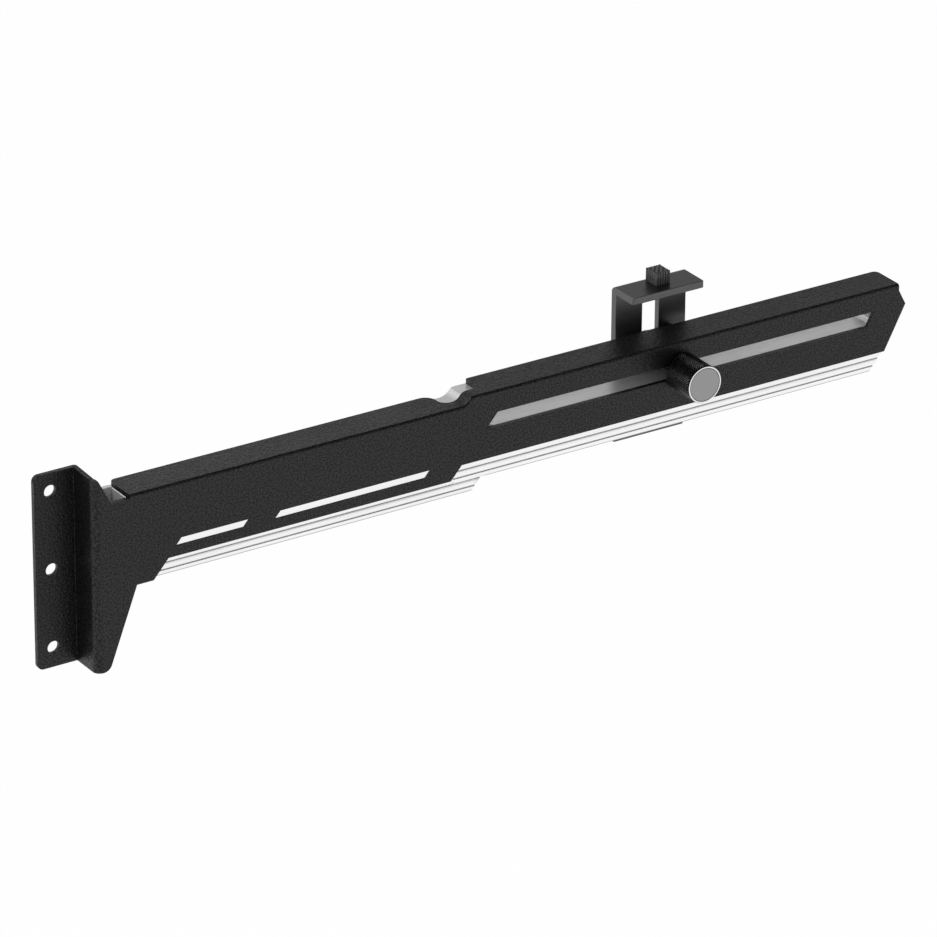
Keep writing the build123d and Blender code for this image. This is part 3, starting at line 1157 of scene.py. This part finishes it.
class BRACKET_OT_stage(bpy.types.Operator):
    """Pale floor, soft light and the camera"""

    bl_idname = "bracket.stage"
    bl_label = "Stage"

    def floor_material(self, colour):
        """White to the eye and in reflections, plain pale to the light."""
        material, tree, shader = new_material("floor")
        shader.inputs["Base Color"].default_value = (*colour, 1)
        shader.inputs["Roughness"].default_value = 0.9
        grain = noise(tree, object_place(tree), scale=30.0)
        wire(tree, bump(tree, grain, depth=0.0002, strength=0.2), shader.inputs["Normal"])
        glow = tree.nodes.new("ShaderNodeEmission")
        rays = tree.nodes.new("ShaderNodeLightPath")
        seen = largest(tree, rays.outputs["Is Camera Ray"], rays.outputs["Is Glossy Ray"])
        mixed = tree.nodes.new("ShaderNodeMixShader")
        wire(tree, blend(tree, seen, 0.0, 0.985), mixed.inputs["Fac"])
        wire(tree, shader.outputs["BSDF"], mixed.inputs[1])
        wire(tree, glow.outputs["Emission"], mixed.inputs[2])
        output = next(node for node in tree.nodes if node.type == "OUTPUT_MATERIAL")
        wire(tree, mixed.outputs["Shader"], output.inputs["Surface"])
        return material

    def make_floor(self, settings):
        """A wide pale floor under the bracket."""
        half = 6.0
        bm = bmesh.new()
        corners = ((-half, -half), (half, -half), (half, half), (-half, half))
        bm.faces.new([bm.verts.new((x, y, -settings.floor_drop)) for x, y in corners])
        mesh_data = bpy.data.meshes.new("floor")
        bm.to_mesh(mesh_data)
        bm.free()
        floor = bpy.data.objects.new("floor", mesh_data)
        mesh_data.materials.append(self.floor_material(settings.floor_colour))
        bpy.context.scene.collection.objects.link(floor)

    def make_room(self, settings):
        """A pale room: white to the camera, mid-grey at the horizon and darker overhead."""
        world = bpy.data.worlds.new("room")
        bpy.context.scene.world = world
        world.use_nodes = True
        tree = world.node_tree
        background = tree.nodes["Background"]
        place = tree.nodes.new("ShaderNodeTexCoord")
        rays = tree.nodes.new("ShaderNodeLightPath")
        overhead = settings.room * 0.12
        upward = axes(tree, place.outputs["Generated"])[2]
        level = spread(tree, upward, settings.room, overhead, from_low=0.45, from_high=0.75)
        level = largest(tree, level, rays.outputs["Is Camera Ray"])
        wire(tree, level, background.inputs["Strength"])
        background.inputs["Color"].default_value = (1, 1, 1, 1)

    def area_light(self, name, size, power, place, aim):
        """A rectangular light of this width and height, at a place and turned to another."""
        data = bpy.data.lights.new(name, "AREA")
        data.shape = "RECTANGLE"
        data.size, data.size_y = size
        data.energy = power
        light = bpy.data.objects.new(name, data)
        light.location = place
        light.rotation_euler = (Vector(aim) - Vector(place)).to_track_quat("-Z", "Y").to_euler()
        bpy.context.scene.collection.objects.link(light)
        return light

    def make_lights(self, settings):
        """A large soft lamp up on the left, and a pale panel behind that draws a sheen along the top."""
        self.area_light("softbox", (1.6, 1.2), settings.lamp, (-0.9, 0.2, 1.5), (0.12, 0, 0))
        panel_place = (0.0, 0.55, 0.25)
        panel_aim = (0.0, 0.0, 0.25)
        panel = self.area_light("back_panel", (0.9, 0.5), settings.back_panel, panel_place, panel_aim)
        panel.visible_camera = False

    def make_camera(self):
        """A long lens at the photograph's viewing angle."""
        azimuth = math.radians(-33.02)
        elevation = math.radians(25.31)
        roll = math.radians(0.39)
        data = bpy.data.cameras.new("camera")
        data.sensor_width = 36.0
        data.lens = 255.59
        data.clip_start = 0.05
        data.clip_end = 50.0
        camera = bpy.data.objects.new("camera", data)
        camera.location = (-0.6796, -1.2255, 0.68755)
        turn = Euler((math.pi / 2 - elevation, 0.0, azimuth)).to_matrix()
        camera.rotation_euler = (turn @ Matrix.Rotation(roll, 3, "Z")).to_euler()
        bpy.context.scene.collection.objects.link(camera)
        bpy.context.scene.camera = camera

    def execute(self, context):
        settings = context.scene.bracket_stage
        self.make_floor(settings)
        self.make_room(settings)
        self.make_lights(settings)
        self.make_camera()
        context.scene.view_settings.view_transform = "Standard"
        return {"FINISHED"}


class BRACKET_PT_panel(bpy.types.Panel):
    """Lists the bracket's pieces and settings"""

    bl_idname = "BRACKET_PT_panel"
    bl_label = "Card support bracket"
    bl_space_type = "VIEW_3D"
    bl_region_type = "UI"
    bl_category = "Bracket"

    def draw(self, context):
        for operator in OPERATORS:
            self.layout.operator(operator.bl_idname)
        for name, group in SETTINGS.items():
            box = self.layout.box()
            box.label(text=group.__doc__)
            for field in group.__annotations__:
                box.prop(getattr(context.scene, name), field)


OPERATORS = (
    BRACKET_OT_sheet,
    BRACKET_OT_rail,
    BRACKET_OT_arm,
    BRACKET_OT_knob,
    BRACKET_OT_pad,
    BRACKET_OT_clamp,
    BRACKET_OT_rail_studs,
    BRACKET_OT_rail_nuts,
    BRACKET_OT_stage,
)
SETTINGS = {
    "bracket_finish": FinishSettings,
    "bracket_edges": EdgeSettings,
    "bracket_knob": KnobSettings,
    "bracket_pad": PadSettings,
    "bracket_fasteners": FastenerSettings,
    "bracket_stage": StageSettings,
}


def register():
    for group in SETTINGS.values():
        bpy.utils.register_class(group)
    for name, group in SETTINGS.items():
        setattr(bpy.types.Scene, name, PointerProperty(type=group))
    for operator in OPERATORS:
        bpy.utils.register_class(operator)
    bpy.utils.register_class(BRACKET_PT_panel)


def unregister():
    bpy.utils.unregister_class(BRACKET_PT_panel)
    for operator in reversed(OPERATORS):
        bpy.utils.unregister_class(operator)
    for name in SETTINGS:
        delattr(bpy.types.Scene, name)
    for group in SETTINGS.values():
        bpy.utils.unregister_class(group)


def main():
    register()
    for operator in OPERATORS:
        group, name = operator.bl_idname.split(".")
        getattr(getattr(bpy.ops, group), name)()


if __name__ == "__main__":
    main()
